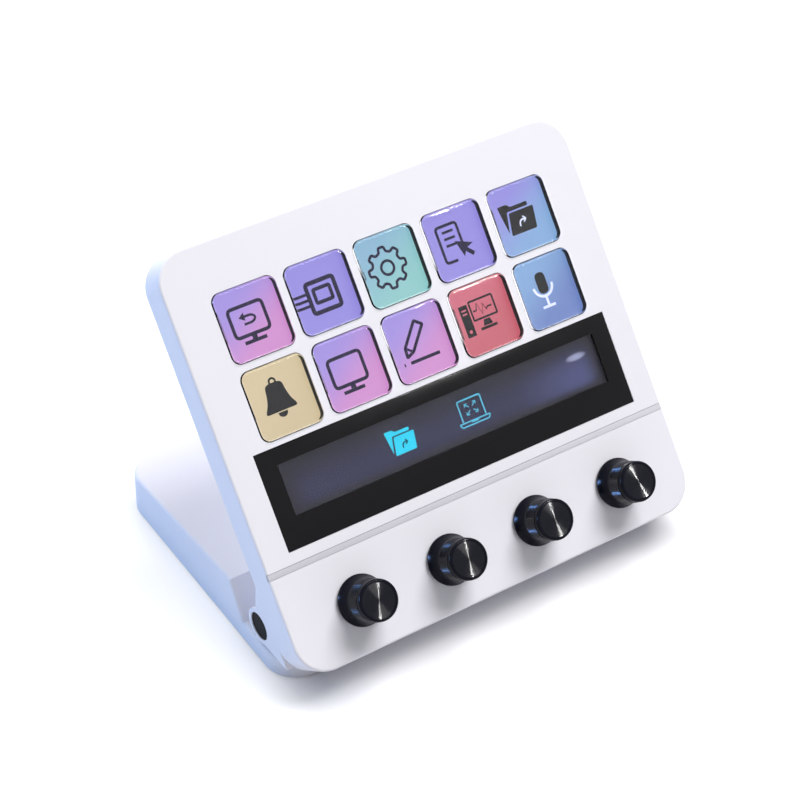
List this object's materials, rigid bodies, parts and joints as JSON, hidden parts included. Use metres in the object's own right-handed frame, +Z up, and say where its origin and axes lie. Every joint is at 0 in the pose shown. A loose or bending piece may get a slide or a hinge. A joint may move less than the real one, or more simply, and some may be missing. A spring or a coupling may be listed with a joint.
{
  "type": "macro keypad",
  "caption": "White desk macro keypad: a tilting panel with clear picture keys, a display strip and push knobs, hinged to a low wedge base that it folds down on.",
  "frame": {"origin": "on the floor, under the middle of the whole part at rest", "axes": "+X along the hinge to the right of someone facing the keys, -Y towards that person, +Z up"},
  "size_m": [0.138, 0.111, 0.1083],
  "materials": {
    "white_plastic": "fine satin moulded",
    "foot_rubber": "matt",
    "screw_steel": "plain",
    "bushing_brass": "turned",
    "pin_steel": "ground",
    "black_plastic": "satin",
    "black_glass": "polished, printed black behind",
    "clear_plastic": "clear, polished",
    "display": "glossy",
    "film": "thin film",
    "foam": "foam",
    "board": "solder mask",
    "socket_steel": "pressed",
    "encoder_metal": "pressed",
    "black_anodised": "turned, knurled, black anodised"
  },
  "bodies": {
    "base": {"base_housing": "white_plastic", "base_bottom_plate": "white_plastic", "rubber_feet": "foot_rubber", "base_screws": "screw_steel", "hinge_bushings": "bushing_brass"},
    "panel": {"panel_front_cover": "white_plastic", "panel_rear_cover": "white_plastic", "panel_screws": "screw_steel", "hinge_pins": "pin_steel", "hinge_caps": "black_plastic", "strip_glass": "black_glass", "strip_display": "display", "key_grid": "black_plastic", "contact_film": "film", "key_display": "display", "display_cushion": "foam", "main_board": "board", "data_socket": "socket_steel", "encoder_bodies": "encoder_metal"},
    "key_r1c1": {"key_cap_r1c1": "clear_plastic"},
    "key_r1c2": {"key_cap_r1c2": "clear_plastic"},
    "key_r1c3": {"key_cap_r1c3": "clear_plastic"},
    "key_r1c4": {"key_cap_r1c4": "clear_plastic"},
    "key_r1c5": {"key_cap_r1c5": "clear_plastic"},
    "key_r2c1": {"key_cap_r2c1": "clear_plastic"},
    "key_r2c2": {"key_cap_r2c2": "clear_plastic"},
    "key_r2c3": {"key_cap_r2c3": "clear_plastic"},
    "key_r2c4": {"key_cap_r2c4": "clear_plastic"},
    "key_r2c5": {"key_cap_r2c5": "clear_plastic"},
    "push_1": {"push_sleeve_1": "bushing_brass"},
    "dial_1": {"knob_1": "black_anodised", "knob_shaft_1": "pin_steel"},
    "push_2": {"push_sleeve_2": "bushing_brass"},
    "dial_2": {"knob_2": "black_anodised", "knob_shaft_2": "pin_steel"},
    "push_3": {"push_sleeve_3": "bushing_brass"},
    "dial_3": {"knob_3": "black_anodised", "knob_shaft_3": "pin_steel"},
    "push_4": {"push_sleeve_4": "bushing_brass"},
    "dial_4": {"knob_4": "black_anodised", "knob_shaft_4": "pin_steel"}
  },
  "joints": [
    {"name": "panel_tilt", "type": "hinge", "parent": "base", "child": "panel", "pos_m": [0, -0.02614, 0.0138], "axis": [1, 0, 0], "range_deg": [-54, 6]},
    {"name": "key_r1c1_press", "type": "slide", "parent": "panel", "child": "key_r1c1", "axis": [0, 0.7615, -0.6481], "range_m": [0, 0.0014], "stiffness_N_per_m": 400, "springref_m": -0.0005},
    {"name": "key_r1c2_press", "type": "slide", "parent": "panel", "child": "key_r1c2", "axis": [0, 0.7615, -0.6481], "range_m": [0, 0.0014], "stiffness_N_per_m": 400, "springref_m": -0.0005},
    {"name": "key_r1c3_press", "type": "slide", "parent": "panel", "child": "key_r1c3", "axis": [0, 0.7615, -0.6481], "range_m": [0, 0.0014], "stiffness_N_per_m": 400, "springref_m": -0.0005},
    {"name": "key_r1c4_press", "type": "slide", "parent": "panel", "child": "key_r1c4", "axis": [0, 0.7615, -0.6481], "range_m": [0, 0.0014], "stiffness_N_per_m": 400, "springref_m": -0.0005},
    {"name": "key_r1c5_press", "type": "slide", "parent": "panel", "child": "key_r1c5", "axis": [0, 0.7615, -0.6481], "range_m": [0, 0.0014], "stiffness_N_per_m": 400, "springref_m": -0.0005},
    {"name": "key_r2c1_press", "type": "slide", "parent": "panel", "child": "key_r2c1", "axis": [0, 0.7615, -0.6481], "range_m": [0, 0.0014], "stiffness_N_per_m": 400, "springref_m": -0.0005},
    {"name": "key_r2c2_press", "type": "slide", "parent": "panel", "child": "key_r2c2", "axis": [0, 0.7615, -0.6481], "range_m": [0, 0.0014], "stiffness_N_per_m": 400, "springref_m": -0.0005},
    {"name": "key_r2c3_press", "type": "slide", "parent": "panel", "child": "key_r2c3", "axis": [0, 0.7615, -0.6481], "range_m": [0, 0.0014], "stiffness_N_per_m": 400, "springref_m": -0.0005},
    {"name": "key_r2c4_press", "type": "slide", "parent": "panel", "child": "key_r2c4", "axis": [0, 0.7615, -0.6481], "range_m": [0, 0.0014], "stiffness_N_per_m": 400, "springref_m": -0.0005},
    {"name": "key_r2c5_press", "type": "slide", "parent": "panel", "child": "key_r2c5", "axis": [0, 0.7615, -0.6481], "range_m": [0, 0.0014], "stiffness_N_per_m": 400, "springref_m": -0.0005},
    {"name": "knob_1_push", "type": "slide", "parent": "panel", "child": "push_1", "axis": [0, 0.7615, -0.6481], "range_m": [0, 0.0005], "stiffness_N_per_m": 4000, "springref_m": -0.0003},
    {"name": "knob_1_turn", "type": "hinge", "parent": "push_1", "child": "dial_1", "pos_m": [-0.0453, -0.04224, 0.02527], "axis": [0, -0.7615, 0.6481], "continuous": true},
    {"name": "knob_2_push", "type": "slide", "parent": "panel", "child": "push_2", "axis": [0, 0.7615, -0.6481], "range_m": [0, 0.0005], "stiffness_N_per_m": 4000, "springref_m": -0.0003},
    {"name": "knob_2_turn", "type": "hinge", "parent": "push_2", "child": "dial_2", "pos_m": [-0.0151, -0.04224, 0.02527], "axis": [0, -0.7615, 0.6481], "continuous": true},
    {"name": "knob_3_push", "type": "slide", "parent": "panel", "child": "push_3", "axis": [0, 0.7615, -0.6481], "range_m": [0, 0.0005], "stiffness_N_per_m": 4000, "springref_m": -0.0003},
    {"name": "knob_3_turn", "type": "hinge", "parent": "push_3", "child": "dial_3", "pos_m": [0.0151, -0.04224, 0.02527], "axis": [0, -0.7615, 0.6481], "continuous": true},
    {"name": "knob_4_push", "type": "slide", "parent": "panel", "child": "push_4", "axis": [0, 0.7615, -0.6481], "range_m": [0, 0.0005], "stiffness_N_per_m": 4000, "springref_m": -0.0003},
    {"name": "knob_4_turn", "type": "hinge", "parent": "push_4", "child": "dial_4", "pos_m": [0.0453, -0.04224, 0.02527], "axis": [0, -0.7615, 0.6481], "continuous": true}
  ]
}
